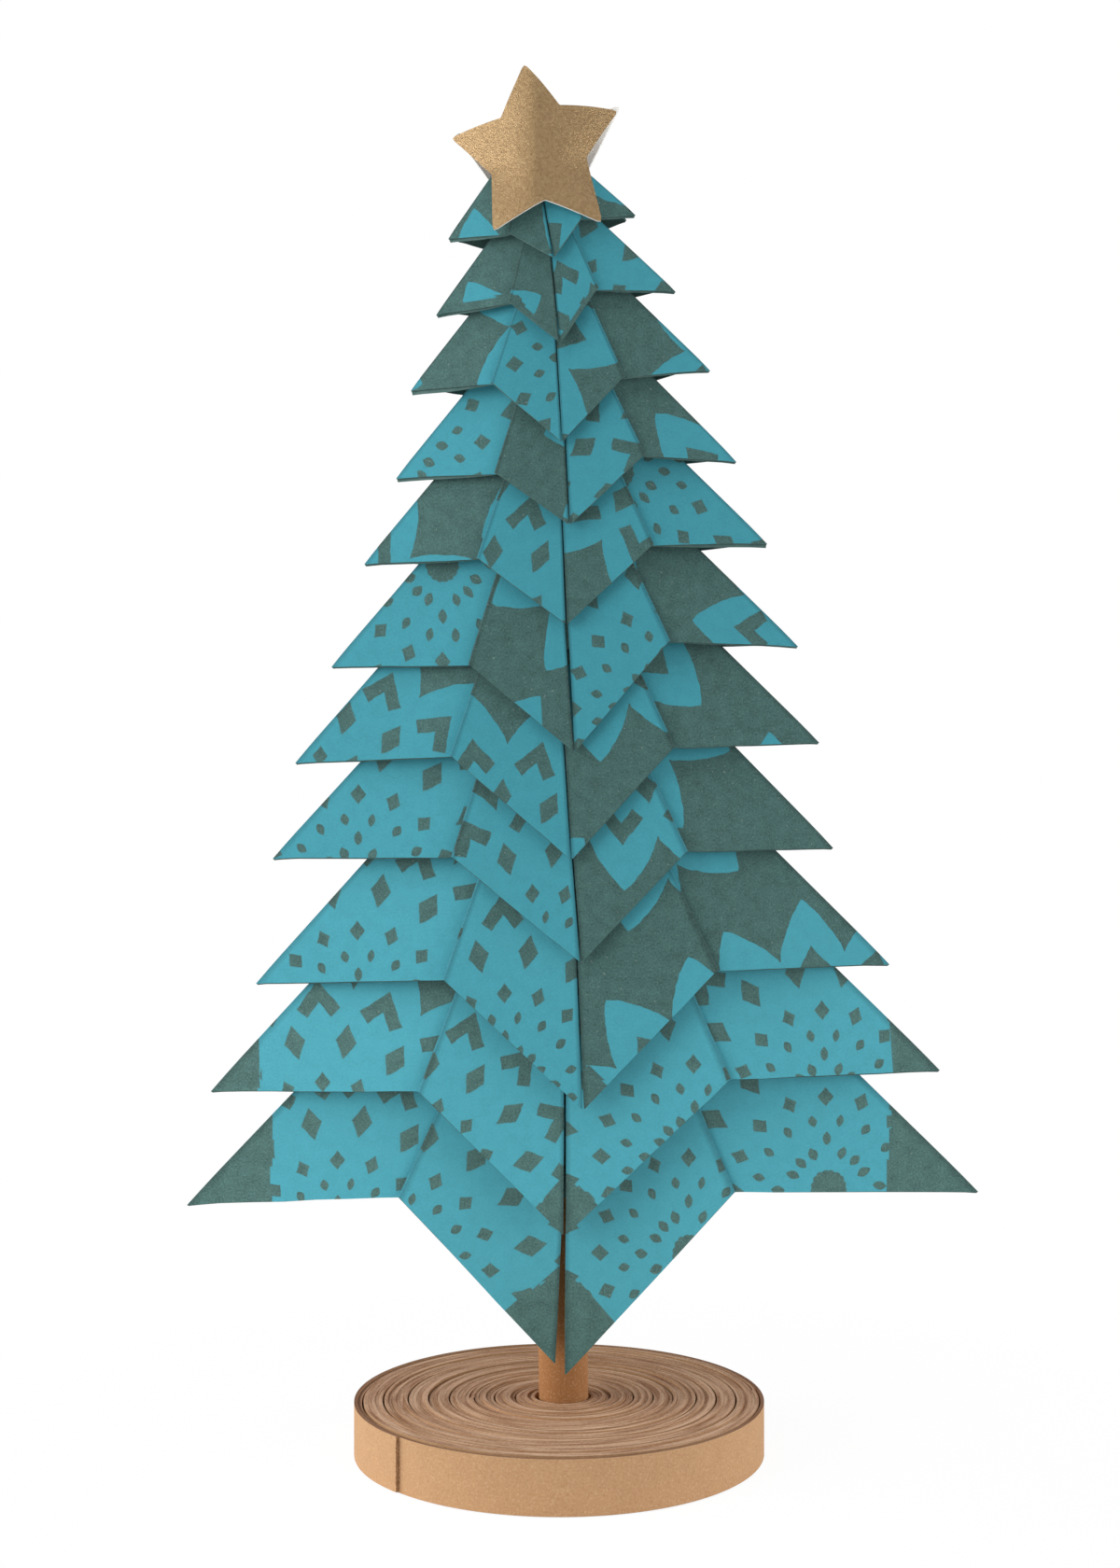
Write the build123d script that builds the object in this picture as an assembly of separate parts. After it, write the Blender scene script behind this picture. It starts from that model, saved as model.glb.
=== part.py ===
"""Folded paper christmas tree: square sheets in eleven tiers on a rolled tube, with a coil for a foot.

Millimetres, +Z up, front towards -Y. The origin is at the middle of the coil's underside.
"""
import os
from math import asin, atan2, cos, degrees, pi, radians, sin, sqrt, tan

from build123d import *

# Sheets, from the top tier to the bottom one: side of the square, height of its lower edge,
# sideways place of its apex against the trunk, how far its right arm is turned up (degrees),
# and how far its kite, folded askew by hand, leans to the left (degrees)
TIER_SIDES = [43.8, 55.8, 70.0, 78.1, 91.0, 105.4, 117.7, 125.0, 141.6, 160.5, 172.4]
TIER_LEVELS = [266.0, 250.2, 233.1, 214.8, 196.4, 173.7, 153.1, 131.8, 105.4, 82.1, 56.1]
TIER_SHIFTS = [-3.5, -0.9, 0.4, 2.1, 1.3, 0.8, -0.8, -0.6, 2.3, 2.6, 4.3]
TIER_ROLLS = [6.1, 5.1, 3.1, 2.1, 2.2, 2.0, 1.5, 0.3, 1.0, 0.8, 0.2]
TIER_LEANS = [-2.6, 0.3, 0.8, -0.1, 0.6, -0.7, -1.4, -3.5, -0.8, 1.6, 2.6]
BACK_ROLL = 1.0           # a back sheet sits this much more askew than the front one

PAPER = 0.2               # thickness of the folded paper
FOLD_GAP = 0.06           # air between two folded layers
BLUNT = 2.0               # the folded point is this much short of the true apex
FLAP_CORNER = 45.0        # a front flap's corner at the apex, which its fold to the middle halves
BOTTOM_FLARE = 0.02       # how far the lowest sheet leans off the trunk, for each unit of height
TIER_CLEARANCE = 0.12     # air between a sheet and the next one under it
SHEET_SEAT = 0.45         # glue between the trunk and a sheet
TIP_DEPTH = 1.2           # a front arm's tip ends this far in front of the tree's middle plane
SIDE_BEND_LIMIT = 32.0    # an arm is never bent back further than this

# Trunk, a rolled tube with a lapped edge
TRUNK_RADIUS = 5.5
TRUNK_WALL = 1.5
TRUNK_LAP = 0.3
TRUNK_FOOT = 1.0          # the tube stops short of the ground
TRUNK_SHORT = 5.0         # the tube ends this far below the topmost sheets' apex
TRUNK_LEAN = 0.8          # degrees, towards -X
TRUNK_OFFSET = 0.9        # the trunk stands a little right of the coil's middle

# Coil, a strip wound round the trunk
BASE_RADIUS = 44.5
BASE_HEIGHT = 12.0
BASE_TURN = 5.0           # width of one visible turn
BASE_SLOT = 0.3           # gap between two turns
BASE_LAP = 0.5            # the strip's outer end stands this proud
BASE_SEAM_ANGLE = 216.0   # where that end is, seen from above
TRUNK_FIT = 0.15          # gap between the trunk and the coil's hole

# Card stars, bent over the topmost sheets
STAR_RADIUS = 19.8
STAR_NOTCH_RADIUS = 11.1
STAR_POINTS = 5
STAR_CARD = 0.4
STAR_BEND_RADIUS = 27.0
STAR_STANDOFF = 2.6       # from the kite of the topmost sheet
STAR_DROP = 7.7           # its middle, below the apex of the topmost sheet
STAR_SHIFT = 1.5          # its middle, right of that apex
STAR_TURN = 7.5           # its top point leans to the left

LAYER = PAPER + FOLD_GAP
STACK = 6 * PAPER + 5 * FOLD_GAP
ARM_STACK = 2 * PAPER + FOLD_GAP
TRUNK_TOP = TIER_LEVELS[0] + TIER_SIDES[0] / 2 - TRUNK_SHORT
OVERCUT = 1.0             # a cutting shape reaches this far past what it cuts


def plate(points, first_layer, last_layer):
    """A flat panel from (across, down) points, filling the given layers of the folded stack."""
    back = -first_layer * LAYER
    outline = Polyline(*[(across, back, -down) for across, down in points], close=True)
    return extrude(make_face(outline), amount=(last_layer - first_layer) * LAYER + PAPER, dir=(0, -1, 0))


def fold_angle(lean):
    """Angle of a flap's fold off the sheet's middle, for a kite that leans out on this side."""
    return radians((FLAP_CORNER + lean) / 2)


def on_fold(fold, down, inset):
    """The point at some depth below the apex on a line parallel to the flap fold, inside it."""
    return down * tan(fold) - inset / cos(fold), down


def flap_strip(bottom, fold, near, far):
    """The strip between two lines parallel to the flap fold, given by their distance inside it."""
    upper = [on_fold(fold, BLUNT, far), on_fold(fold, BLUNT, near)]
    return upper + [on_fold(fold, bottom, near), on_fold(fold, bottom, far)]


def middle_half(bottom, fold, inset, inner_edge):
    """Half of a panel, from its inner edge out to a line parallel to the flap fold."""
    upper, lower = inner_edge
    return [upper, on_fold(fold, BLUNT, inset), on_fold(fold, bottom, inset), lower]


def upright_edge(bottom, left):
    """Upper and lower end of an inner edge along the sheet's middle."""
    return (left, BLUNT), (left, bottom)


def leaning_edge(tip, lean, left):
    """Upper and lower end of an inner edge along the kite's own middle."""
    slope = tan(radians(lean))
    return (left + BLUNT * slope, BLUNT), (left + (tip - left) * slope, tip - left)


def folded_half(side, bend, lean):
    """Right half of a folded sheet: two arm layers behind, and the flap that is turned in before them."""
    bottom = side / 2
    tip = side / sqrt(2) * cos(radians(lean))
    fold = fold_angle(lean)
    edge = FOLD_GAP / 2
    crease = edge + PAPER
    slope = PAPER * sqrt(2)
    back_edge = upright_edge(bottom, edge)
    kite_edge = leaning_edge(tip, lean, edge)
    panels = [
        plate(middle_half(bottom, fold, 0, upright_edge(bottom, 0)), 0, 0),
        plate(middle_half(bottom, fold, 0, back_edge), 1, 1),
        plate(middle_half(bottom, fold, 0, back_edge), 2, 2),
        plate([(edge, BLUNT), (crease, BLUNT), (crease, bottom), (edge, bottom)], 1, 2),
        plate(flap_strip(bottom, fold, 0, PAPER), 2, 5),
        plate(middle_half(bottom, fold, LAYER, upright_edge(bottom, 0)), 3, 3),
        plate(flap_strip(bottom, fold, LAYER, LAYER + PAPER), 3, 4),
        plate(middle_half(bottom, fold, LAYER, kite_edge), 4, 4),
        plate(middle_half(bottom, fold, 0, kite_edge), 5, 5),
        plate([*kite_edge, *reversed(leaning_edge(tip, lean, crease))], 4, 5),
    ]
    arm = [on_fold(fold, BLUNT, 0), (BLUNT, BLUNT), (bottom, bottom), on_fold(fold, bottom, 0)]
    hem = [(BLUNT - slope, BLUNT), (BLUNT, BLUNT), (bottom, bottom), (bottom - slope, bottom)]
    bend_line = Axis((0, -ARM_STACK, 0), (tan(fold), 0, -1))
    for panel in (plate(arm, 0, 0), plate(arm, 1, 1), plate(hem, 0, 1)):
        panels.append(panel.rotate(bend_line, -bend))
    return panels


def folded_sheet(side, flare, lean):
    """One square sheet folded flat, with its arms bent back, as one solid. Its apex is at the origin."""
    right = folded_half(side, side_bend(side, flare, -lean), -lean)
    left = [mirror(panel, about=Plane.YZ) for panel in folded_half(side, side_bend(side, flare, lean), lean)]
    return right[0].fuse(*right[1:], *left)


def tier_flares():
    """Lean of each tier off the trunk: each clears the apex below, and stands off no less than that tier."""
    apexes = [level + side / 2 for level, side in zip(TIER_LEVELS, TIER_SIDES)]
    flares = [BOTTOM_FLARE]
    for upper, lower in reversed(list(zip(apexes, apexes[1:]))):
        flares.insert(0, max(flares[0], (STACK + TIER_CLEARANCE) / (upper - lower)))
    return flares


def side_bend(side, flare, lean):
    """Bend of an arm that brings its tip to the wanted depth."""
    fold = fold_angle(lean)
    tip_depth = TRUNK_RADIUS + SHEET_SEAT + flare * side / 2
    arm_reach = side / 2 * (1 - tan(fold)) * cos(fold)
    return min(SIDE_BEND_LIMIT, degrees(asin((tip_depth - TIP_DEPTH) / arm_reach)))


def on_trunk(solid):
    """From the upright trunk's own frame to the leaning trunk."""
    return Pos(TRUNK_OFFSET, 0, 0) * Rot(Y=-TRUNK_LEAN) * solid


def apex_place(tier, flare, roll):
    """Frame of a front sheet, at its apex on the front of the upright trunk."""
    apex = Pos(TIER_SHIFTS[tier], -TRUNK_RADIUS - SHEET_SEAT, TIER_LEVELS[tier] + TIER_SIDES[tier] / 2)
    return apex * Rot(Y=-roll) * Rot(X=-degrees(atan2(flare, 1)))


def tier_sheets(tier, flare):
    """Front and back sheet of one tier."""
    sheet = folded_sheet(TIER_SIDES[tier], flare, TIER_LEANS[tier])
    roll = TIER_ROLLS[tier]
    front = apex_place(tier, flare, roll) * sheet
    back = mirror(apex_place(tier, flare, roll + BACK_ROLL) * sheet, about=Plane.XZ)
    return on_trunk(front), on_trunk(back)


def wound_face(radius, lap):
    """Section of something wound: a disc whose outer edge ends in a small step on the +X side."""
    upper = CenterArc((0, 0), radius, 0, 180)
    lower = CenterArc((-lap / 2, 0), radius - lap / 2, 180, 180)
    return make_face([upper, lower, Line((radius - lap, 0), (radius, 0))])


def trunk_tube():
    """Rolled tube, open at both ends, with its lapped edge at the back."""
    section = wound_face(TRUNK_RADIUS, TRUNK_LAP) - Circle(TRUNK_RADIUS - TRUNK_LAP - TRUNK_WALL)
    tube = extrude(section, amount=TRUNK_TOP - TRUNK_FOOT)
    return on_trunk(Pos(0, 0, TRUNK_FOOT) * Rot(Z=90) * tube)


def half_turn(radius, index):
    """Slot between two turns of the coil, over half a turn: the centre steps aside on every other half."""
    centre = (BASE_TURN / 2 if index % 2 else 0, 0)
    start = 180 * (index % 2)
    inner = CenterArc(centre, radius, start, 180)
    outer = CenterArc(centre, radius + BASE_SLOT, start, 180)
    ends = [Line(inner @ 0, outer @ 0), Line(inner @ 1, outer @ 1)]
    slot = extrude(make_face([inner, outer, *ends]), amount=BASE_HEIGHT + 2 * OVERCUT)
    return Pos(TRUNK_OFFSET, 0, -OVERCUT) * Rot(Z=BASE_SEAM_ANGLE) * slot


def base_coil():
    """Strip wound into a disc round the trunk: the slot between its turns runs as a spiral."""
    disc = Rot(Z=BASE_SEAM_ANGLE) * extrude(wound_face(BASE_RADIUS, BASE_LAP), amount=BASE_HEIGHT)
    hole_radius = TRUNK_RADIUS + TRUNK_FIT
    hole = on_trunk(Cylinder(hole_radius, 2 * BASE_HEIGHT + 2 * OVERCUT))
    first = hole_radius + BASE_TURN
    last = BASE_RADIUS - BASE_LAP - TRUNK_OFFSET - BASE_TURN
    halves = int(2 * (last - first) / BASE_TURN)
    slots = [half_turn(first + index * BASE_TURN / 2, index) for index in range(halves)]
    return disc.cut(hole, *slots)


def star_outline():
    """Five-pointed star, upright in the XZ plane, its top point leaning to the left."""
    points = []
    for corner in range(2 * STAR_POINTS):
        radius = STAR_NOTCH_RADIUS if corner % 2 else STAR_RADIUS
        angle = radians(90 + STAR_TURN) + corner * pi / STAR_POINTS
        points.append((radius * cos(angle), 0, radius * sin(angle)))
    return make_face(Polyline(*points, close=True))


def card_star():
    """Star cut from card and bent round an upright axis, its middle at the origin and its back there."""
    sag = STAR_BEND_RADIUS - sqrt(STAR_BEND_RADIUS ** 2 - STAR_RADIUS ** 2)
    blank = extrude(star_outline(), amount=sag + OVERCUT, dir=(0, 1, 0))
    blank += extrude(star_outline(), amount=OVERCUT, dir=(0, -1, 0))
    roller_height = 2 * STAR_RADIUS + 2 * OVERCUT
    bent = Cylinder(STAR_BEND_RADIUS + STAR_CARD, roller_height)
    bent -= Cylinder(STAR_BEND_RADIUS, roller_height)
    return blank & (Pos(0, STAR_BEND_RADIUS, 0) * bent)


def stars(flare):
    """Front and back star, each lying over the kite of the topmost sheet."""
    on_sheet = Pos(STAR_SHIFT, -STACK - STAR_STANDOFF, -STAR_DROP)
    front = apex_place(0, flare, 0) * on_sheet * card_star()
    return on_trunk(front), on_trunk(mirror(front, about=Plane.XZ))


def build():
    """All nodes by name."""
    nodes = {"base_coil": base_coil(), "trunk_tube": trunk_tube()}
    flares = tier_flares()
    for tier, flare in enumerate(flares):
        front, back = tier_sheets(tier, flare)
        nodes[f"tier_{tier + 1:02d}_front_sheet"] = front
        nodes[f"tier_{tier + 1:02d}_back_sheet"] = back
    nodes["front_star"], nodes["back_star"] = stars(flares[0])
    return nodes


os.makedirs("parts", exist_ok=True)
for name, solid in build().items():
    export_step(solid, f"parts/{name}.step")
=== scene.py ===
"""Paper christmas tree: folded printed sheets on a kraft tube, a gold card star and a wound kraft foot."""

from math import asin, atan, cos, pi, radians, sin, sqrt, tan

import bpy
from mathutils import Matrix, Vector, noise


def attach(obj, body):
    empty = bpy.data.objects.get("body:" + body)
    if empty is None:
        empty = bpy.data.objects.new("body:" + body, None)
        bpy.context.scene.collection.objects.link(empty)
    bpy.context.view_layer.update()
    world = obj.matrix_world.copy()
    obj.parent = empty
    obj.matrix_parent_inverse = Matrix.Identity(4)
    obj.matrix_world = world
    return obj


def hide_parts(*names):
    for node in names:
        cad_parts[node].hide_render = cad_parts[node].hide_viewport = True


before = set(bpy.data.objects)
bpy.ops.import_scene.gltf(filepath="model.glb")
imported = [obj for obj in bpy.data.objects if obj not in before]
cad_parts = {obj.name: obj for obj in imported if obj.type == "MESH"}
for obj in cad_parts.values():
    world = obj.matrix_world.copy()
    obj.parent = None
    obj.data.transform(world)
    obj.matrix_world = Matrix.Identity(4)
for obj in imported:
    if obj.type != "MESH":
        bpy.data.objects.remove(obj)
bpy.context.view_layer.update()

MM = 0.001

# Folding plan of the tiers, from the topmost down, in millimetres and degrees
TIER_SIDES = [43.8, 55.8, 70.0, 78.1, 91.0, 105.4, 117.7, 125.0, 141.6, 160.5, 172.4]
TIER_LEVELS = [266.0, 250.2, 233.1, 214.8, 196.4, 173.7, 153.1, 131.8, 105.4, 82.1, 56.1]
TIER_SHIFTS = [-3.5, -0.9, 0.4, 2.1, 1.3, 0.8, -0.8, -0.6, 2.3, 2.6, 4.3]
TIER_ROLLS = [6.1, 5.1, 3.1, 2.1, 2.2, 2.0, 1.5, 0.3, 1.0, 0.8, 0.2]
TIER_LEANS = [-2.6, 0.3, 0.8, -0.1, 0.6, -0.7, -1.4, -3.5, -0.8, 1.6, 2.6]
# How far the hand has folded the corners of each sheet off the plan, across and down
# (left tip, left corner of the kite, point of the kite, right corner of the kite, right tip)
CORNER_TRIMS = [
    ((-0.3, -1.2), (1.2, 3.2), (0.1, 0.9), (-1.0, 1.7), (0.1, -1.1)),
    ((-0.3, -1.0), (1.7, 2.2), (0.0, 0.7), (-2.5, 1.1), (0.4, -0.8)),
    ((0.1, -1.8), (0.2, 2.3), (0.1, 1.5), (-0.8, 2.8), (0.1, -1.7)),
    ((-0.5, -0.7), (0.9, 3.4), (-0.3, -0.8), (0.2, 1.1), (0.2, -0.4)),
    ((-0.4, -0.6), (0.4, 2.9), (-0.1, -0.9), (-0.2, 1.8), (0.3, -0.4)),
    ((-0.2, -1.2), (1.0, 2.8), (-0.1, 0.6), (-0.1, -0.3), (0.0, -0.7)),
    ((-0.3, -0.7), (0.9, 1.7), (-0.1, 0.1), (-0.7, 1.6), (0.1, -0.7)),
    ((-0.7, -0.2), (2.2, 2.2), (-0.3, -1.0), (-0.3, 1.9), (0.3, -0.4)),
    ((-0.4, -0.5), (1.3, 1.4), (-0.4, -0.2), (0.2, 1.2), (0.0, -0.5)),
    ((-0.6, 0.1), (1.4, 1.6), (-0.2, -1.1), (0.4, 0.9), (0.2, 0.1)),
    ((-0.1, 0.5), (-0.2, -1.2), (0.2, -0.5), (-1.8, -1.0), (0.4, 0.7)),
]
BACK_SHORT = 1.6           # the tips of the back sheets end this far inside those of the front ones
BACK_LIFT = 0.5            # and this far above them
# How much higher the back sheet of each tier sits as a whole
BACK_RISES = [0.8, 1.4, 1.2, 0.9, 0.6, 0.3] + [0.0] * 5

PAPER = 0.2                # sheet thickness
LAYER = 0.26               # from one folded layer to the next
STACK = 1.5                # thickness of the whole folded sheet
ARM_STACK = 0.46           # thickness of the two layers of an arm
APEX_START = 0.03          # where the mesh begins, as a part of the way from the apex to the raw edge
FLAP_CORNER = 45.0         # corner of a front flap at the apex, halved by its fold
BOTTOM_FLARE = 0.02        # lean of the lowest sheet off the trunk, for each unit of height
TIER_CLEARANCE = 0.12      # air between a sheet and the next one under it
SHEET_SEAT = 0.45          # glue between the trunk and a sheet
TIP_DEPTH = 1.2            # an arm's tip ends this far in front of the tree's middle plane
SIDE_BEND_LIMIT = 32.0     # an arm is never bent back further than this
BEND_SOFTNESS = 1.2        # rounding of the bend between kite and arm
KITE_SPRING = 0.45         # how far the points of the kites stand off
ARM_OPENING = 0.25         # how far the two layers of an arm part at the raw edge
TIP_HOOK = 0.2             # how far the tips of the arms turn down
TIP_HOOK_ASIDE = 0.4       # share of that by which they also draw in
TIP_START = 0.9            # where a tip begins, as a part of the way out along the arm
TIP_LENGTH = 0.1           # and its length, as a part of the same way
EDGE_WANDER = 0.22         # unevenness of the cut edges
EDGE_WANDER_SCALE = 0.12   # waves of that unevenness for each millimetre
BOW = 0.5                  # slow waves across the paper
BOW_SCALE = 0.035          # waves for each millimetre
BOW_REACH = 12.0           # distance from the bend at which an arm takes the full wave
KITE_BOW = 0.4             # share of the wave in a kite
ARM_OPENING_REACH = 5.0    # distance from the bend at which the layers of an arm are fully parted
FRONT_LAYER_SHARE = 0.3    # share of the parting that the front layer takes
HANG_REACH = 0.15          # where the rear layer hangs fully, as a part of the sheet's side
SHEET_ROWS = 24            # steps of the mesh from the apex to the raw edge
NEAR_FOLD = 0.03           # strip beside a fold that is painted darker as shade, as a part of the panel's width
FOLD_TURNS = (-60, -30, 0, 30, 60)   # steps round a fold, in degrees
SHARP_ANGLE = 50.0         # edges bent more than this stay sharp
# Half the gap between the two halves of each kite, and how far it opens or closes at the point
SLITS = [(0.2, 0.0), (0.2, 0.0), (0.2, 0.0), (0.22, 0.0), (0.2, 0.05), (0.5, -0.35), (0.2, 0.0), (0.22, 0.05),
         (0.22, 0.05), (0.28, 0.1), (0.25, 0.85)]
# How far a half's point hangs lower, by tier, counted from nought, and hand, left being -1
POINT_DROPS = {(10, -1): -0.5, (10, 1): 1.9}
# How far the rear layer of the left and the right arm hangs lower
BACK_HANG = [(0.5, 0.2), (0.3, 0.1), (0.7, 0.1), (0.5, 0.1), (0.2, 0.6), (0.1, 0.1), (0.1, 0.1), (0.1, 0.1),
             (0.1, 0.1), (0.1, 0.2), (0.1, 0.2)]

TRUNK_RADIUS = 5.5
TRUNK_INNER_RADIUS = 4.0
TRUNK_FOOT = 1.0           # the tube stops short of the ground
TRUNK_TOP = 282.9
TRUNK_LEAN = 0.8           # degrees, towards -X
TRUNK_OFFSET = 0.9         # the trunk stands a little right of the coil's middle
TRUNK_TURNS = 5
TRUNK_TURN_POINTS = 72
TRUNK_SEAM_ANGLE = 90.0    # its lapped edge is at the back

PLY_FILL = 0.98            # part of its pitch that a wound ply takes up
PLY_SLACK_SCALE = 1.9      # waves for each turn of how tightly it lies
PLY_RISE_SCALE = 0.8       # waves for each turn of how high it lies
BASE_HOLE = 5.65
BASE_RADIUS = 45.0
BASE_HEIGHT = 12.0
BASE_UNEVEN = 1.2          # how far the turns rise and sink
BASE_SUNK = 0.6            # the strip is this much narrower, to leave room for that
BASE_TURNS = 44
BASE_TURN_POINTS = 150
BASE_BUNDLE = 5.3          # turns that lie close together before the next gap
BASE_OPENING = 0.42        # width of that gap, in turns
BASE_LOOSE = 0.25          # how unevenly the turns lie
BASE_RIM = 1.9             # width of the darker band along the rim
BASE_SEAM_ANGLE = 221.5    # where the strip's outer end is, seen from above

# Corners of the hand-cut star round its middle, from the top point to the left
STAR_CORNERS = [(-2.4, 19.1), (-7.5, 7.7), (-18.6, 7.0), (-9.6, -4.8), (-9.5, -18.4),
                (1.7, -12.1), (13.8, -16.2), (10.6, -0.7), (17.8, 12.5), (5.0, 9.9)]
STAR_CARD = 0.4
STAR_PINCH = 9.3           # how far its side points are bent back
STAR_PINCH_REACH = 17.5    # at this distance from its upright middle line
STAR_PINCH_POWER = 1.6
STAR_FOOT_EASE = 0.5       # the lower points are bent back less, by this part
STAR_FOOT_FROM = -3.0      # beginning at this height
STAR_FOOT_REACH = 10.0     # and fully so this far below it
STAR_RIPPLE = 0.25         # unevenness of the card
STAR_RIPPLE_SCALE = 0.12
STAR_BACK_RISE = 1.2       # the back star sits this much higher
STAR_BACK_SHIFT = 0.6      # and this much further to the right
STAR_STANDOFF = 2.6        # from the kite of the topmost sheet
STAR_DROP = 7.7            # its middle, below the apex of that sheet
STAR_SHIFT = 1.5           # its middle, right of that apex
STAR_TIP_ROUND = 0.09      # rounding of the tips, as a part of an edge
STAR_NOTCH_ROUND = 0.02    # rounding of the notches
STAR_EDGE_STEPS = 6
STAR_RINGS = 14

ROOM_LIGHT = 0.31          # strength of the white surroundings
# Soft lights: name, place, target, size and power, in metres and watts
LIGHTS = [
    ("left_softbox", (-0.75, -0.55, 0.45), (0, 0, 0.13), (0.7, 0.7), 4.7),
    ("right_softbox", (0.8, -0.45, 0.2), (0, 0, 0.1), (0.6, 0.6), 2.3),
    ("top_softbox", (0.0, -0.2, 1.0), (0, 0, 0.1), (0.9, 0.7), 1.9),
    ("left_edge_light", (-0.9, 0.12, 0.3), (0, 0, 0.03), (0.5, 0.5), 5.0),
    ("right_edge_light", (0.9, 0.12, 0.25), (0, 0, 0.03), (0.5, 0.5), 3.6),
]
FLOOR_REACH = 3.0          # the floor's half width in metres
FLOOR_BOUNCE = 0.3         # light that the bright floor throws back near the foot
FLOOR_NEAR = (0.16, 0.045)          # where that begins and where it is full, in metres from the middle
FLOOR_SHADOW = 0.1                  # share of the real shadow that shows near the foot
FLOOR_COVERED = (0.0435, 0.0440)    # the coil hides the floor within this radius

CAMERA_DISTANCE = 475.0
CAMERA_HEIGHT = 145.2
CAMERA_LENS = 50.0
CAMERA_FILM = 36.0         # height of the film

# Printed rosette on each visible panel: its middle, across and down from the tier's apex, and its turn
# (left arm, left kite, right kite, right arm)
ROSETTES = [
    ((-15.1, 67.6, 0.0), (28.8, 59.3, -9.6), (-28.2, 49.2, 6.6), (-8.3, -16.7, 1.5)),
    ((-0.3, 69.1, -0.1), (-52.6, 42.8, 6.3), (19.0, 57.7, -5.1), (-0.2, 39.9, 8.5)),
    ((28.9, 15.7, 0.5), (10.3, 31.8, 0.2), (-32.7, 14.1, -3.5), (68.2, 39.2, 1.0)),
    ((-38.9, 33.4, -2.8), (46.5, 34.6, 0.8), (-19.0, 56.1, -5.0), (54.3, 67.3, 3.3)),
    ((-65.1, 70.2, -6.2), (-20.2, 73.2, -2.7), (26.6, 10.4, -5.4), (12.0, 29.5, 1.0)),
    ((-26.5, 31.8, 2.2), (30.7, 19.3, -2.0), (20.6, 66.1, 1.3), (78.8, 54.0, 7.2)),
    ((-54.5, 77.5, 4.0), (-17.1, 96.8, -2.5), (5.8, 11.4, -3.6), (-5.2, 15.1, -1.8)),
    ((-44.0, 69.2, 1.9), (-4.7, 92.5, -1.5), (13.8, 21.0, -1.0), (-6.7, 19.8, 2.6)),
    ((-47.4, 80.1, -0.8), (-15.3, 94.6, 0.0), (39.1, 116.7, 5.4), (56.9, 107.4, -6.5)),
    ((-55.0, 98.3, -1.6), (-38.8, 102.1, 1.8), (24.5, 96.9, 0.0), (53.7, 86.5, 0.6)),
    ((-52.3, 97.6, -0.9), (-39.0, 100.8, 2.5), (23.1, 98.0, 2.0), (54.3, 85.3, -2.3)),
]
# Middle of a second rosette that reaches onto a panel, by tier and panel, both counted from nought
SECOND_ROSETTES = {
    (1, 2): (-8.9, -20.9), (2, 0): (-79.1, 13.8), (2, 3): (-3.9, -30.1), (4, 0): (26.6, 16.6),
    (5, 1): (-40.6, 99.1), (5, 3): (-15.5, 2.4), (6, 2): (-29.1, 117.1), (6, 3): (49.0, 107.5),
    (8, 2): (16.5, 11.8), (8, 3): (-3.2, 18.1),
}
FAR_AWAY = (900.0, 900.0)    # where there is none
# Width of the unprinted margin on the arms and on the kite of each tier
BACK_MARGINS = [0.0] * 9 + [11.0, 19.2]
FRONT_MARGINS = [0.0] * 9 + [8.7, 15.0]
# Margin of a single kite panel, and margins along the lower edge, by tier and panel
END_MARGINS = {(8, 2): 6.4}
SIDE_MARGINS = {(1, 0): 1.8, (1, 1): 1.8, (1, 2): 1.0}

# Shapes in the printed rosette, in millimetres and degrees
SECTORS = 16
DISC_RADIUS = 3.6
DISC_SCALLOP = 0.3
# Distance from the middle, length and width
INNER_LEAF = (8.1, 3.0, 1.9)
OUTER_LEAF = (14.9, 2.8, 1.8)
INNER_LOZENGE = (20.0, 4.1, 3.4)
OUTER_LOZENGE = (28.8, 7.3, 4.7)
FOURTH_LEAF_SHIFT = 2.7    # every fourth inner leaf lies this much further out
CHEVRON_SLANT = 38.0
CHEVRON_APEX = 41.4
CHEVRON_THICKNESS = 2.95
CHEVRON_LENGTH = 7.9
PETAL_VALLEY = 39.0
PETAL_TIP = 51.1
PETAL_HALF = 7.65
PETAL_POWERS = (1.2, 0.75)   # they set how full and how pointed a petal is
PRINT_WOBBLE = 0.7         # how far the cut of the printing block wanders
PRINT_WOBBLE_SCALE = 0.35
INK_EDGE = 0.22            # softness of the ink's edge
MARGIN_STEP = 0.5          # the ink ends at a margin in steps of this size
MARGIN_STEPS = 6.0
MARGIN_STEP_SCALE = 0.17
MARGIN_INSET = 1.4
SCREEN_PITCH = 0.42        # of the crossed lines that the printing screen leaves

# Painted light: how much lighter the ink and the ground of each tier are made, from nought to one; the lower
# tiers, lit more from below, are the lightest
TIER_PAINTED_LIGHT = [(0.0, 0.0)] * 6 + [(0.05, 0.05), (0.25, 0.12), (0.5, 0.2), (0.9, 0.8), (1.0, 1.0)]

# Handmade paper: contrast of the ground's fibres and of the ink, strength of pale flecks, painted shade at
# the folds
GROUND_CONTRAST = 0.90
INK_FULL = 1.08
INK_THIN = 0.32            # how much darker the ink is where it is thin
FLECK_ON_GROUND = 0.60
FLECK_HIDDEN = 0.42        # how much of that the ink takes away
FOLD_PAINTED_SHADE = 0.36           # painted shade: how much darker the folds are
# Waves of the surface patterns for each millimetre
PAPER_MOTTLE_SCALE = 0.35
PAPER_GRAIN_SCALE = 2.4
PAPER_FLECK_SCALE = 1.1
SCREEN_BREAK_SCALE = 1.6
KRAFT_MOTTLE_SCALE = 0.22
KRAFT_SPECK_SCALE = 2.3
KRAFT_FIBRE_SCALE = 1.7
GOLD_GRAIN_SCALE = 1.3
GOLD_GLITTER_SCALE = 3.4
# Depth of those patterns in millimetres
PAPER_BUMP = 0.07
CORE_BUMP = 0.06
KRAFT_BUMP = 0.14
GOLD_BUMP = 0.25

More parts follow.
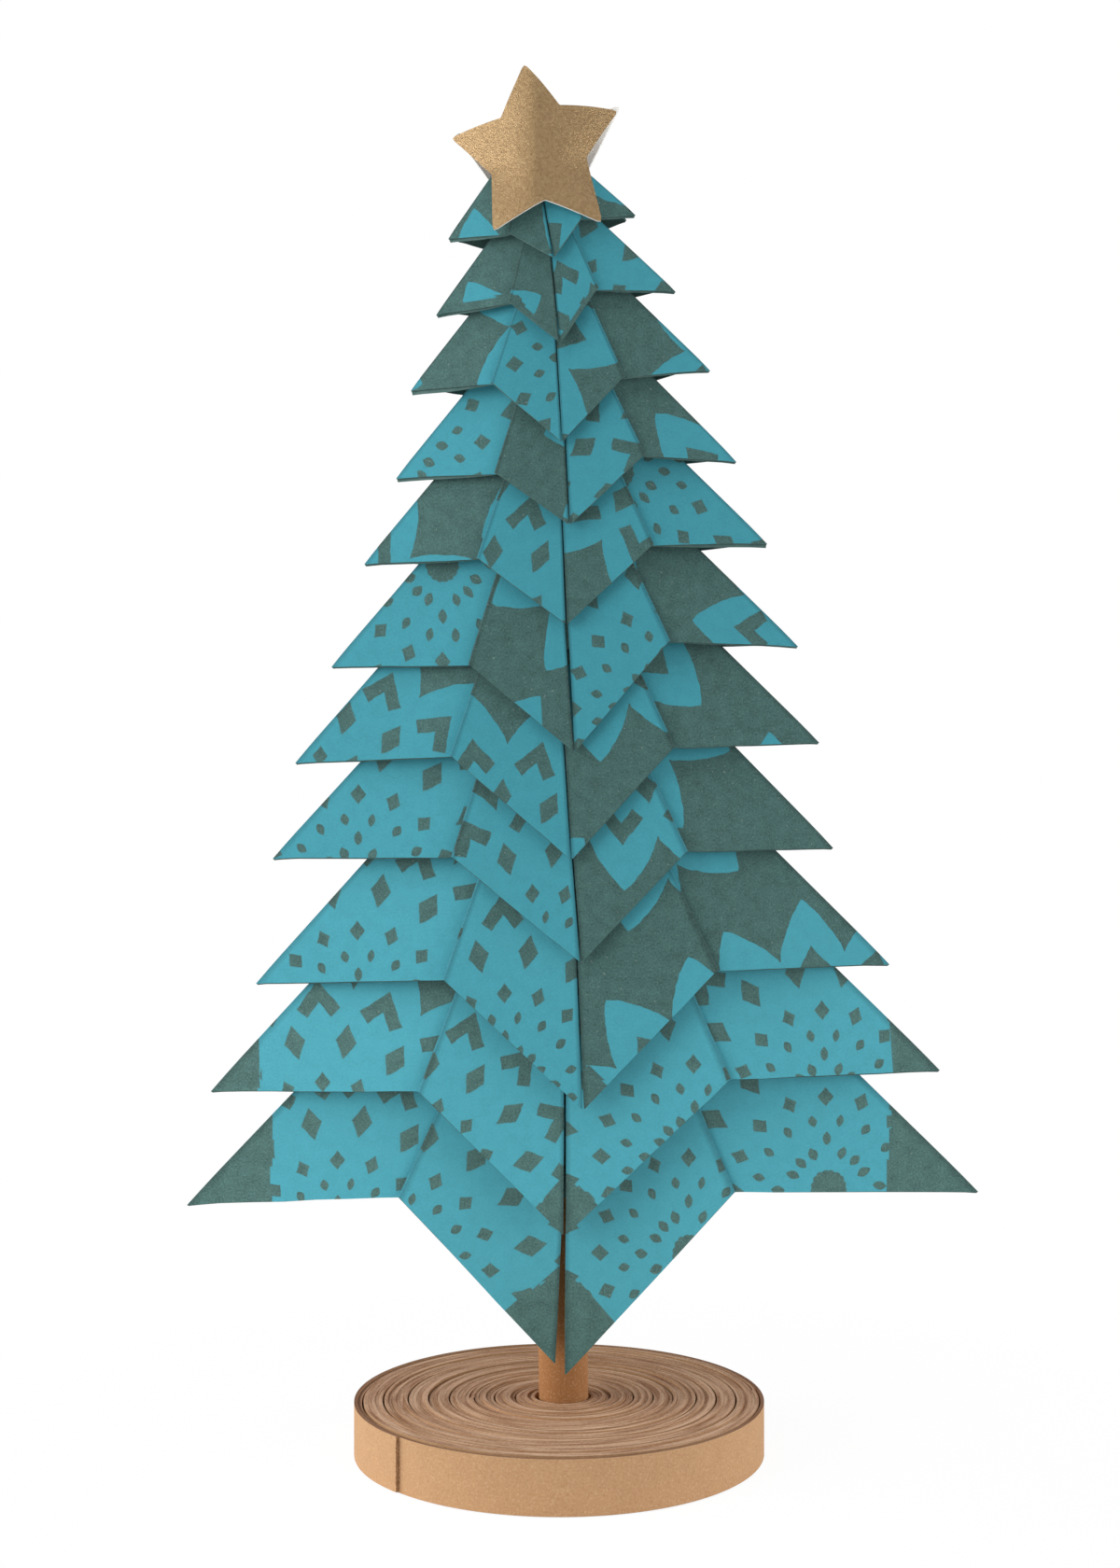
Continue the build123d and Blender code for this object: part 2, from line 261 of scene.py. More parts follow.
# Linear colours
INK = (0.049, 0.292, 0.362, 1.0)
# Painted light: lighter ink and ground for the lower tiers
INK_LIT = (0.077, 0.388, 0.475, 1.0)
GROUND = (0.057, 0.130, 0.121, 1.0)
GROUND_LIT = (0.082, 0.172, 0.158, 1.0)
PAPER_CORE = (0.095, 0.175, 0.16, 1.0)
FIBRE = (0.36, 0.42, 0.38, 1.0)
KRAFT_FACE = (0.50, 0.29, 0.145, 1.0)
KRAFT_EDGE = (0.31, 0.145, 0.073, 1.0)
KRAFT_CUT = (0.68, 0.44, 0.29, 1.0)
SEAM_SHADOW = (0.14, 0.062, 0.028, 1.0)
RIM_BROWN = (0.22, 0.105, 0.055, 1.0)
KRAFT_PALE = (0.70, 0.50, 0.33, 1.0)
TUBE_BROWN = (0.40, 0.178, 0.063, 1.0)
TUBE_DARK = (0.28, 0.112, 0.036, 1.0)
GOLD = (0.49, 0.335, 0.172, 1.0)
GOLD_DARK = (0.31, 0.19, 0.082, 1.0)
CARD_WHITE = (0.80, 0.78, 0.74, 1.0)
FLOOR_WHITE = (0.9, 0.9, 0.9, 1.0)
WHITE = (1.0, 1.0, 1.0, 1.0)


class Field:
    """A value in a node tree that takes part in plain arithmetic."""

    def __init__(self, tree, socket):
        self.tree = tree
        self.socket = socket

    def math(self, operation, *others):
        """The result of a math node on this value and others."""
        node = add_node(self.tree, "ShaderNodeMath", dict(enumerate((self, *others))), operation=operation)
        return Field(self.tree, node.outputs[0])

    def __add__(self, other):
        return self.math("ADD", other)

    def __sub__(self, other):
        return self.math("SUBTRACT", other)

    def __rsub__(self, other):
        return (self * -1.0) + other

    def __mul__(self, other):
        return self.math("MULTIPLY", other)

    def __truediv__(self, other):
        return self.math("DIVIDE", other)

    def __abs__(self):
        return self.math("ABSOLUTE")

    def larger(self, other):
        """The larger of two values."""
        return self.math("MAXIMUM", other)

    def smaller(self, other):
        """The smaller of two values."""
        return self.math("MINIMUM", other)

    def inside(self, softness):
        """One where the value is below zero, nought where it is above, with a soft step between."""
        step = 0.5 - self / softness
        return step.larger(0.0).smaller(1.0)


def join(tree, socket, value):
    """Set a node's input to a value, or link it to a field or a socket."""
    if isinstance(value, Field):
        value = value.socket
    if isinstance(value, bpy.types.NodeSocket):
        tree.links.new(value, socket)
    else:
        socket.default_value = value


def feed(tree, node, inputs):
    """Fill a node's inputs, given by name or number."""
    for name, value in inputs.items():
        join(tree, node.inputs[name], value)


def add_node(tree, kind, inputs, **settings):
    """A new node with its settings and inputs."""
    node = tree.nodes.new(kind)
    for name, value in settings.items():
        setattr(node, name, value)
    feed(tree, node, inputs)
    return node


def combine(tree, x, y, z):
    """A vector from three values."""
    return add_node(tree, "ShaderNodeCombineXYZ", {"X": x, "Y": y, "Z": z}).outputs[0]


def split(tree, vector):
    """The three values of a vector."""
    return [Field(tree, part) for part in add_node(tree, "ShaderNodeSeparateXYZ", {0: vector}).outputs]


def noise_field(tree, place, scale, detail, roughness=0.5):
    """Noise from nought to one at a place."""
    inputs = {"Vector": place, "Scale": scale, "Detail": detail, "Roughness": roughness}
    return Field(tree, add_node(tree, "ShaderNodeTexNoise", inputs).outputs["Fac"])


def noise_along(tree, way, scale, detail):
    """Noise from nought to one along a way."""
    inputs = {"W": way, "Scale": scale, "Detail": detail}
    return Field(tree, add_node(tree, "ShaderNodeTexNoise", inputs, noise_dimensions="1D").outputs["Fac"])


def spread(value, low, high):
    """Nought at low, one at high, held beyond them."""
    return ((value - low) / (high - low)).larger(0.0).smaller(1.0)


def mix(tree, amount, first, second):
    """The first colour turned into the second by an amount."""
    node = add_node(tree, "ShaderNodeMix", {}, data_type="RGBA")
    for name, value in (("Factor_Float", amount), ("A_Color", first), ("B_Color", second)):
        join(tree, next(item for item in node.inputs if item.identifier == name), value)
    return next(item for item in node.outputs if item.identifier == "Result_Color")


def shade(tree, colour, strength):
    """The colour made lighter or darker by a factor."""
    inputs = {0: colour, "Scale": strength}
    return add_node(tree, "ShaderNodeVectorMath", inputs, operation="SCALE").outputs[0]


def new_group(name, inputs, outputs):
    """Start a shader group; inputs and outputs map a socket's name to its type."""
    tree = bpy.data.node_groups.new(name, "ShaderNodeTree")
    for socket, kind in inputs.items():
        tree.interface.new_socket(socket, in_out="INPUT", socket_type=kind)
    for socket, kind in outputs.items():
        tree.interface.new_socket(socket, in_out="OUTPUT", socket_type=kind)
    return tree, tree.nodes.new("NodeGroupInput"), tree.nodes.new("NodeGroupOutput")


def use_group(tree, group, **inputs):
    """What a shader group makes of its inputs, by name."""
    node = add_node(tree, "ShaderNodeGroup", inputs, node_tree=group)
    return {output.name: Field(tree, output) for output in node.outputs}


def rosette_group():
    """Sixteenfold rosette: rings of lozenges, then chevrons in a border of pointed petals."""
    tree, entry, result = new_group(
        "rosette_print",
        {"Place": "NodeSocketVector", "Border": "NodeSocketFloat"},
        {"Ink": "NodeSocketFloat"},
    )
    place = entry.outputs["Place"]
    inputs = {"Vector": place, "Scale": PRINT_WOBBLE_SCALE, "Detail": 1.0}
    wobble = add_node(tree, "ShaderNodeTexNoise", inputs)
    inputs = {0: wobble.outputs["Color"], 1: (PRINT_WOBBLE, PRINT_WOBBLE, 0.0), 2: place}
    shaken = add_node(tree, "ShaderNodeVectorMath", inputs, operation="MULTIPLY_ADD")
    x, y = [part - PRINT_WOBBLE / 2 for part in split(tree, shaken.outputs[0])[:2]]
    radius = (x * x + y * y).math("SQRT")
    angle = y.math("ARCTAN2", x)

    def sector(turn):
        """Across and outward places within the nearest sector, and its number."""
        count = angle * (SECTORS / (2 * pi)) + turn
        number = (count + 0.5).math("FLOOR")
        away = (count - number) * (2 * pi / SECTORS)
        return abs(radius * away.math("SINE")), radius * away.math("COSINE"), number

    def leaf(across, outward, middle, length, width):
        """Below zero inside a leaf with two rounded sides."""
        along = (outward - middle) / (length / 2)
        return across - (1.0 - along * along) * (width / 2)

    def diamond(across, outward, middle, length, width):
        """Below zero inside a lozenge, and roughly a distance in millimetres."""
        shape = across / (width / 2) + abs(outward - middle) / (length / 2) - 1.0
        return shape * (width * 0.4)

    across, outward, number = sector(0.0)
    half_across, half_outward, _ = sector(0.5)
    quarter = number / 4.0
    fourth = (abs(quarter - (quarter + 0.5).math("FLOOR")) - 0.1).inside(0.02)
    shapes = radius - DISC_RADIUS - abs((angle * (SECTORS / 2)).math("SINE")) * DISC_SCALLOP
    middle, length, width = INNER_LEAF
    shapes = shapes.smaller(leaf(across, outward, fourth * FOURTH_LEAF_SHIFT + middle, length, width))
    shapes = shapes.smaller(leaf(half_across, half_outward, *OUTER_LEAF))
    shapes = shapes.smaller(diamond(across, outward, *INNER_LOZENGE))
    shapes = shapes.smaller(diamond(half_across, half_outward, *OUTER_LOZENGE))

    slant = radians(CHEVRON_SLANT)
    front = (outward - CHEVRON_APEX) * sin(slant) + across * cos(slant)
    end = across * sin(slant) + (CHEVRON_APEX - outward) * cos(slant) - CHEVRON_LENGTH
    shapes = shapes.smaller(front.larger(-CHEVRON_THICKNESS - front).larger(end))

    fullness, sharpness = PETAL_POWERS
    rise = (1.0 - (across / PETAL_HALF).math("POWER", fullness)).larger(0.0).math("POWER", sharpness)
    petal = outward - PETAL_VALLEY - rise * (PETAL_TIP - PETAL_VALLEY)
    ragged = noise_field(tree, place, MARGIN_STEP_SCALE, 0.0) * MARGIN_STEPS
    edge = Field(tree, entry.outputs["Border"]) + ragged.math("FLOOR") * MARGIN_STEP - MARGIN_INSET
    ink = petal.larger(shapes * -1.0).larger(edge * -1.0)
    feed(tree, result, {"Ink": ink.inside(INK_EDGE)})
    return tree


def fibre_group():
    """Handmade paper: soft mottling, pale flecks and a fine felt surface; places in millimetres."""
    tree, entry, result = new_group(
        "paper_fibre",
        {"Place": "NodeSocketVector"},
        {name: "NodeSocketFloat" for name in ("Mottle", "Grain", "Fleck", "Height")},
    )
    place = entry.outputs["Place"]
    mottle = noise_field(tree, place, PAPER_MOTTLE_SCALE, 3.0, 0.6)
    grain = noise_field(tree, place, PAPER_GRAIN_SCALE, 3.0, 0.65)
    speck = noise_field(tree, place, PAPER_FLECK_SCALE, 4.0, 0.7)
    height = grain * 0.7 + mottle * 0.5
    feed(tree, result, {
        "Mottle": mottle, "Grain": grain, "Fleck": spread(speck, 0.64, 0.72), "Height": height})
    return tree


def weave_group():
    """Fine crossed lines that the printing screen leaves in the ink."""
    tree, entry, result = new_group(
        "screen_weave", {"Place": "NodeSocketVector"}, {"Weave": "NodeSocketFloat"})
    place = entry.outputs["Place"]
    across, down = [(part * (2 * pi / SCREEN_PITCH)).math("SINE") for part in split(tree, place)[:2]]
    broken = noise_field(tree, place, SCREEN_BREAK_SCALE, 2.0, 0.6)
    weave = (across * down) * 0.5 + 0.5
    feed(tree, result, {"Weave": weave * broken})
    return tree


def new_material(name):
    """A material with its node tree and its main shader."""
    material = bpy.data.materials.new(name)
    material.use_nodes = True
    return material, material.node_tree, material.node_tree.nodes["Principled BSDF"]


def add_bump(tree, shader, height, depth, strength=1.0):
    """Give the shader a relief, its depth in millimetres."""
    inputs = {"Strength": strength, "Distance": depth * MM, "Height": height}
    feed(tree, shader, {"Normal": add_node(tree, "ShaderNodeBump", inputs).outputs["Normal"]})


def uv_place(tree, name):
    """Coordinates from a named layer of the mesh."""
    return add_node(tree, "ShaderNodeUVMap", {}, uv_map=name).outputs["UV"]


def printed_paper(rosette, fibre, screen):
    """Handmade paper with the rosettes printed on it in teal, painted lighter on the lower tiers and with
    painted shade along the folds.
    """
    material, tree, shader = new_material("printed_paper")
    place = uv_place(tree, "print")
    border, fold_shade, _ = split(tree, uv_place(tree, "border"))
    ink_light, ground_light, _ = split(tree, uv_place(tree, "tone"))
    first, second = [use_group(tree, rosette, Place=uv_place(tree, layer), Border=border)["Ink"]
                     for layer in ("print", "print_beside")]
    ink = first.larger(second)
    paper = use_group(tree, fibre, Place=place)
    mottle, grain = paper["Mottle"], paper["Grain"]
    weave = use_group(tree, screen, Place=place)["Weave"]
    fibres = spread(mottle * 0.3 + grain * 0.7, 0.32, 0.68)
    # Painted light: the ground and the ink are made lighter on the lower tiers
    plain = mix(tree, ground_light, GROUND, GROUND_LIT)
    ground = shade(tree, plain, fibres * GROUND_CONTRAST + (1.0 - GROUND_CONTRAST / 2))
    thin = weave * 0.45 + (mottle - 0.5) * 0.35 + (grain - 0.5) * 0.6
    full = mix(tree, ink_light, INK, INK_LIT)
    teal = shade(tree, full, INK_FULL - spread(thin, 0.0, 0.5) * INK_THIN)
    printed = mix(tree, ink, ground, teal)
    flecked = mix(tree, paper["Fleck"] * (FLECK_ON_GROUND - ink * FLECK_HIDDEN), printed, FIBRE)
    # Painted shade: the paper is made darker along the folds
    fold_shaded = shade(tree, flecked, 1.0 - fold_shade * FOLD_PAINTED_SHADE)
    feed(tree, shader, {"Base Color": fold_shaded, "Roughness": 0.82, "Specular IOR Level": 0.28})
    add_bump(tree, shader, paper["Height"] + weave * ink * 0.35, PAPER_BUMP, 0.8)
    return material


def plain_paper(fibre):
    """Inside and cut edges of the handmade paper."""
    material, tree, shader = new_material("paper_core")
    paper = use_group(tree, fibre, Place=uv_place(tree, "print"))
    colour = mix(tree, spread(paper["Mottle"], 0.3, 0.7), GROUND, PAPER_CORE)
    feed(tree, shader, {"Base Color": colour, "Roughness": 0.9})
    add_bump(tree, shader, paper["Height"], CORE_BUMP)
    return material


def object_place(tree):
    """Object coordinates in millimetres."""
    coordinates = tree.nodes.new("ShaderNodeTexCoord")
    inputs = {"Vector": coordinates.outputs["Object"], "Scale": [1.0 / MM] * 3}
    return add_node(tree, "ShaderNodeMapping", inputs).outputs["Vector"]


def kraft_material(name, face, edge, cut, ply, rim, seam):
    """Brown board: finely speckled faces, and fibrous plies on its cut edges, darker beyond the rim's radius.

    The seam, given by its direction, shows as a rough dark line: painted shadow of the step where the strip
    ends."""
    material, tree, shader = new_material(name)
    place = object_place(tree)
    mottle = noise_field(tree, place, KRAFT_MOTTLE_SCALE, 3.0, 0.6)
    speck = noise_field(tree, place, KRAFT_SPECK_SCALE, 3.0, 0.7)
    fibre = noise_field(tree, place, KRAFT_FIBRE_SCALE, 3.0, 0.65)
    geometry = tree.nodes.new("ShaderNodeNewGeometry")
    upward = spread(split(tree, geometry.outputs["True Normal"])[2], 0.3, 0.8)
    x, y, _ = split(tree, place)
    radius = (x * x + y * y).math("SQRT")

    dull_face = (*[level * 0.93 for level in face[:3]], 1.0)
    side = mix(tree, spread(mottle, 0.25, 0.75), dull_face, face)
    side = mix(tree, spread(speck, 0.54, 0.70) * 0.4, side, KRAFT_PALE)
    side = mix(tree, spread(speck, 0.47, 0.33) * 0.4, side, edge)
    # Painted shadow of the step at the strip's outer end, ragged like its rough end
    aside = abs(x * seam[1] - y * seam[0]) + (speck - 0.5) * 1.2
    behind = (x * seam[0] + y * seam[1] - rim).inside(0.1)
    side = mix(tree, aside.inside(0.5) * (1.0 - behind) * 0.85, side, SEAM_SHADOW)

    strands = noise_field(tree, combine(tree, radius / ply * 0.8, x * 0.05, y * 0.05), 1.0, 4.0, 0.65)
    ragged = strands * 0.75 + fibre * 0.25
    top = mix(tree, spread(ragged, 0.39, 0.59), edge, cut)
    top = mix(tree, spread(radius, rim, rim + 0.3) * 0.8, top, RIM_BROWN)
    colour = mix(tree, upward, side, top)
    feed(tree, shader, {"Base Color": colour, "Roughness": 0.85, "Specular IOR Level": 0.25})
    add_bump(tree, shader, speck * 0.6 + ragged * upward * 1.6, KRAFT_BUMP, 0.8)
    return material


def gold_card():
    """Grainy metallic face of the stars."""
    material, tree, shader = new_material("gold_card")
    place = object_place(tree)
    grain = noise_field(tree, place, GOLD_GRAIN_SCALE, 4.0, 0.7)
    glitter = noise_field(tree, place, GOLD_GLITTER_SCALE, 2.0, 0.6)
    colour = mix(tree, spread(grain * 0.6 + glitter * 0.4, 0.36, 0.64), GOLD_DARK, GOLD)
    feed(tree, shader, {
        "Base Color": colour, "Metallic": 0.8, "Roughness": 0.4, "Coat Weight": 0.25, "Coat Roughness": 0.4})
    add_bump(tree, shader, grain * 0.7 + glitter * 0.6, GOLD_BUMP, 0.9)
    return material


def plain_material(name, colour, roughness):
    """A material of one colour."""
    material, tree, shader = new_material(name)
    feed(tree, shader, {"Base Color": colour, "Roughness": roughness})
    return material


def on_trunk():
    """From the upright trunk's frame, in millimetres, to where the leaning trunk stands."""
    return Matrix.Translation((TRUNK_OFFSET, 0, 0)) @ Matrix.Rotation(radians(-TRUNK_LEAN), 4, "Y")


def tier_flares():
    """Slope of each tier off the trunk; an upper tier stands off at least as much as the one under it."""
    tops = [level + side / 2 for level, side in zip(TIER_LEVELS, TIER_SIDES)]
    flares = [BOTTOM_FLARE]
    for upper, lower in reversed(list(zip(tops, tops[1:]))):
        flares.insert(0, max(flares[0], (STACK + TIER_CLEARANCE) / (upper - lower)))
    return flares


def fold_angle(lean):
    """Angle of a flap's fold off the sheet's middle, for a kite that leans out on this side."""
    return radians((FLAP_CORNER + lean) / 2)


def side_bend(side, flare, lean):
    """Angle by which an arm turns back past the trunk."""
    fold = fold_angle(lean)
    reach = side / 2 * (1 - tan(fold)) * cos(fold)
    drop = TRUNK_RADIUS + SHEET_SEAT + flare * side / 2 - TIP_DEPTH
    return min(radians(SIDE_BEND_LIMIT), asin(drop / reach))


def apex_place(tier, flare, roll):
    """Frame of a folded sheet at its apex, before the trunk leans."""
    top = TIER_LEVELS[tier] + TIER_SIDES[tier] / 2
    at = Matrix.Translation((TIER_SHIFTS[tier], -TRUNK_RADIUS - SHEET_SEAT, top))
    return at @ Matrix.Rotation(radians(-roll), 4, "Y") @ Matrix.Rotation(-atan(flare), 4, "X")


def make_object(name, vertices, faces, materials):
    """A linked mesh object from plain lists."""
    mesh = bpy.data.meshes.new(name)
    mesh.from_pydata(vertices, [], faces)
    for material in materials:
        mesh.materials.append(material)
    piece = bpy.data.objects.new(name, mesh)
    bpy.context.collection.objects.link(piece)
    return piece


def apply_modifiers(piece):
    """Put the evaluated mesh in place of the modifiers."""
    graph = bpy.context.evaluated_depsgraph_get()
    mesh = bpy.data.meshes.new_from_object(
        piece.evaluated_get(graph), preserve_all_data_layers=True, depsgraph=graph)
    piece.modifiers.clear()
    piece.data = mesh


def thicken(piece, thickness):
    """Give a sheet its thickness; its inside and its cut edges take the second material."""
    solid = piece.modifiers.new("thickness", "SOLIDIFY")
    solid.thickness = thickness
    solid.offset = 0.0
    solid.material_offset = 1
    solid.material_offset_rim = 1
    apply_modifiers(piece)


def settle(piece, node):
    """Smooth a finished piece and put it in place of its solid."""
    for face in piece.data.polygons:
        face.use_smooth = True
    piece.data.set_sharp_from_angle(angle=radians(SHARP_ANGLE))
    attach(piece, "root")
    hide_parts(node)


def panel_fractions(count):
    """Places across a panel, with one close to each fold."""
    return [0.0, NEAR_FOLD] + [step / count for step in range(1, count)] + [1.0 - NEAR_FOLD, 1.0]


def sheet_corners(side, lean):
    """Corner of the kite, tip of the arm and point of the kite on one half of a sheet, across and down."""
    half = side / 2
    point = Vector((sin(radians(lean)), cos(radians(lean)))) * (side / sqrt(2))
    return Vector((half * tan(fold_angle(lean)), half)), Vector((half, half)), point


def sheet_columns(side, lean):
    """Rays from the apex round one half of the folded sheet, from the middle of the back to the inner panel.

    Each is (raw edge point, fold offset, depth, panel name, share of painted shade at the folds)."""
    corner, tip, point = sheet_corners(side, lean)
    middle = Vector((0.0, side / 2))
    ends = {"back": middle, "tip": tip, "middle": middle, "corner": corner, "point": point}
    turns = {"tip": pi / 4, "corner": fold_angle(lean), "point": radians(lean), "middle": 0.0}
    # Panel, where it starts and ends, its layer from behind and its number of steps
    route = [
        ("back", "back", "tip", 1, 12),
        ("arm", "tip", "middle", 2, 12),
        ("lining", "middle", "corner", 3, 3),
        ("kite", "corner", "point", 6, 8),
        ("tuck", "point", "corner", 5, 3),
        ("inner", "corner", "middle", 4, 3),
    ]
    columns = []
    for place, (panel, start, end, layer, count) in enumerate(route):
        depth = (layer - 1) * LAYER + PAPER / 2
        previous = route[place - 1][3] if place else None
        following = route[place + 1][3] if place + 1 < len(route) else None
        shifts = []
        for fold, neighbour in ((start, previous), (end, following)):
            if neighbour is None:
                shifts.append((Vector((0.0, 0.0)), None, 0.0))
                continue
            turn = turns[fold]
            away = Vector((cos(turn), -sin(turn)))
            if fold == "point" or (fold == "middle" and panel in ("arm", "lining")):
                away = -away
            radius = abs(neighbour - layer) * LAYER / 2
            shifts.append((away * -radius, away, radius))
        for fraction in panel_fractions(count):
            edge = ends[start].lerp(ends[end], fraction)
            offset = shifts[0][0].lerp(shifts[1][0], fraction)
            # Painted shade is full at a fold and fades out across the strip beside it
            fold_shade = max(0.0, 1.0 - min(fraction, 1.0 - fraction) / NEAR_FOLD)
            columns.append((edge, offset, depth, panel, fold_shade))
        if following is not None:
            _, away, radius = shifts[1]
            between = ((layer - 1) + (following - 1)) / 2 * LAYER + PAPER / 2
            sense = 1 if following > layer else -1
            for turn in FOLD_TURNS:
                bend = radians(turn)
                offset = away * (radius * (cos(bend) - 1.0))
                owner = panel if panel in ("arm", "kite") else route[place + 1][0]
                columns.append((ends[end], offset, between + sense * radius * sin(bend), owner, 1.0))
    return columns


def bend_arm(across, down, depth, bend, fold):
    """Turn what lies outside the kite's fold back past the trunk."""
    beyond = across * cos(fold) - down * sin(fold)
    soft = (beyond + sqrt(beyond * beyond + BEND_SOFTNESS ** 2)) / 2
    drop = depth - ARM_STACK
    shift = soft * (cos(bend) - 1.0) + (sin(bend) * drop if beyond > 0 else 0.0)
    across += shift * cos(fold)
    down -= shift * sin(fold)
    depth = ARM_STACK + drop * (cos(bend) if beyond > 0 else 1.0) - soft * sin(bend)
    return across, down, depth


def corner_trim(tier, hand, flat):
    """Share of the trims of the sheet's corners at a place on its flat plan."""
    lean = -hand * TIER_LEANS[tier]
    corner, tip, point = sheet_corners(TIER_SIDES[tier], lean)
    trims = CORNER_TRIMS[tier]
    near = Vector(trims[3] if hand > 0 else trims[1])
    far, end = Vector(trims[2]), point
    if flat.x > flat.y * tan(fold_angle(lean)):
        far, end = Vector(trims[4] if hand > 0 else trims[0]), tip
    area = corner.x * end.y - corner.y * end.x
    near_share = (flat.x * end.y - flat.y * end.x) / area
    far_share = (corner.x * flat.y - corner.y * flat.x) / area
    return near * near_share + far * far_share


def print_place(tier, panel, hand, across, down):
    """A point's places seen from its two rosettes, and how far inside the printed field it lies."""
    fold = fold_angle(-hand * TIER_LEANS[tier])
    on_kite = panel in ("kite", "tuck", "inner", "lining")
    choice = (1 if on_kite else 0) if hand < 0 else (2 if on_kite else 3)
    *middle, degrees = ROSETTES[tier][choice]
    turned = Matrix.Rotation(radians(-degrees), 2)
    places = [turned @ (Vector((across, down)) - Vector(centre))
              for centre in (middle, SECOND_ROSETTES.get((tier, choice), FAR_AWAY))]
    half = TIER_SIDES[tier] / 2
    # The other panels get no print, only the dark ground: painted shade where they show through the slits and
    # below the arms
    if panel not in ("arm", "kite"):
        return places, -half
    flat_side, flat_end = down, hand * across
    margin = BACK_MARGINS[tier]
    if on_kite:
        along = 2 * (hand * across * sin(fold) + down * cos(fold))
        flat_end = along * sin(fold) - hand * across
        flat_side = along * cos(fold) - down
        margin = END_MARGINS.get((tier, choice), FRONT_MARGINS[tier])
    inside = half - flat_end - margin if margin else half
    if (tier, choice) in SIDE_MARGINS:
        inside = min(inside, half - flat_side - SIDE_MARGINS[tier, choice])
    return places, inside


def folded_sheet(name, tier, facing, flare, materials):
    """Mesh of one folded sheet in its own frame: across, forward and down from the apex, in millimetres."""
    side = TIER_SIDES[tier]
    leans = {hand: -hand * TIER_LEANS[tier] for hand in (1, -1)}
    bends = {hand: side_bend(side, flare, leans[hand]) for hand in (1, -1)}
    seed = Vector((tier * 7.3, len(name) * 1.7, 0.0))
    rows = [APEX_START + (1 - APEX_START) * (step / SHEET_ROWS) for step in range(SHEET_ROWS + 1)]
    ring = [(hand, column) for hand in (1, -1) for column in sheet_columns(side, leans[hand])[::hand]]
    vertices, prints, prints_beside, borders = [], [], [], []
    for hand, (edge, offset, depth, panel, fold_shade) in ring:
        fold, kite_slope = fold_angle(leans[hand]), tan(radians(leans[hand]))
        for row in rows:
            flat = edge * row
            across, down = flat + offset
            cut = Vector((edge.x * EDGE_WANDER_SCALE, edge.y * EDGE_WANDER_SCALE, hand * 3.1))
            down += noise.noise(cut + seed) * EDGE_WANDER * row ** 6
            spot = Vector((hand * across * BOW_SCALE, down * BOW_SCALE, 5.0))
            wave = noise.noise(spot + seed) * BOW * row
            level = depth
            if panel in ("kite", "tuck"):
                inward = 1.0 - min(1.0, (across / down - kite_slope) / (tan(fold) - kite_slope))
                level += KITE_SPRING * row ** 3 * inward + abs(wave) * KITE_BOW
                slit, opening = SLITS[tier]
                across += slit + opening * row ** 4
                down += POINT_DROPS.get((tier, hand), 0.0) * row ** 6 * inward
            if panel in ("arm", "back"):
                outward = max(0.0, across - down * tan(fold))
                opening = ARM_OPENING * row ** 4 * min(1.0, outward / ARM_OPENING_REACH)
                level += opening * (FRONT_LAYER_SHARE if panel == "arm" else -1.0)
                if panel == "back":
                    hang = BACK_HANG[tier][0 if hand < 0 else 1]
                    down += hang * row ** 4 * min(1.0, outward / (side * HANG_REACH))
                near_tip = max(0.0, across / (side / 2) - TIP_START) / TIP_LENGTH
                down += TIP_HOOK * near_tip ** 2
                across -= TIP_HOOK_ASIDE * TIP_HOOK * near_tip ** 2
                across, down, level = bend_arm(across, down, level, bends[hand], fold)
                level += wave * min(1.0, outward / BOW_REACH)
            trim = corner_trim(tier, hand, flat)
            if facing == "back":
                tipward = max(0.0, flat.x / (side / 2)) ** 2
                across -= BACK_SHORT * tipward
                down -= BACK_LIFT * tipward
            vertices.append((hand * across + trim.x, -level, -down - trim.y))
            places, inside = print_place(tier, panel, hand, hand * flat.x, flat.y)
            prints.append(places[0])
            prints_beside.append(places[1])
            borders.append((inside, fold_shade))
    height = len(rows)
    faces = []
    for column in range(len(ring)):
        beside = (column + 1) % len(ring)
        for row in range(height - 1):
            faces.append((column * height + row, column * height + row + 1,
                          beside * height + row + 1, beside * height + row))
    piece = make_object(name, vertices, faces, materials)
    tier_lights = [TIER_PAINTED_LIGHT[tier]] * len(vertices)
    layers = {"print": prints, "print_beside": prints_beside, "border": borders, "tone": tier_lights}
    for layer_name, values in layers.items():
        layer = piece.data.uv_layers.new(name=layer_name)
        for loop in piece.data.loops:
            layer.data[loop.index].uv = values[loop.vertex_index]
    return piece


def tier_sheets(materials):
    """Front and back sheet of every tier, in place on the trunk."""
    for tier, (roll, flare) in enumerate(zip(TIER_ROLLS, tier_flares())):
        for facing in ("front", "back"):
            node = f"tier_{tier + 1:02d}_{facing}_sheet"
            piece = folded_sheet(f"tier_{tier + 1:02d}_{facing}_paper", tier, facing, flare, materials)
            place = apex_place(tier, flare, roll)
            if facing == "back":
                place = Matrix.Translation((0, 0, BACK_RISES[tier])) @ Matrix.Diagonal((1, -1, 1, 1)) @ place
            piece.data.transform(Matrix.Scale(MM, 4) @ on_trunk() @ place)
            if facing == "front":
                piece.data.flip_normals()
            thicken(piece, PAPER * MM)
            settle(piece, node)


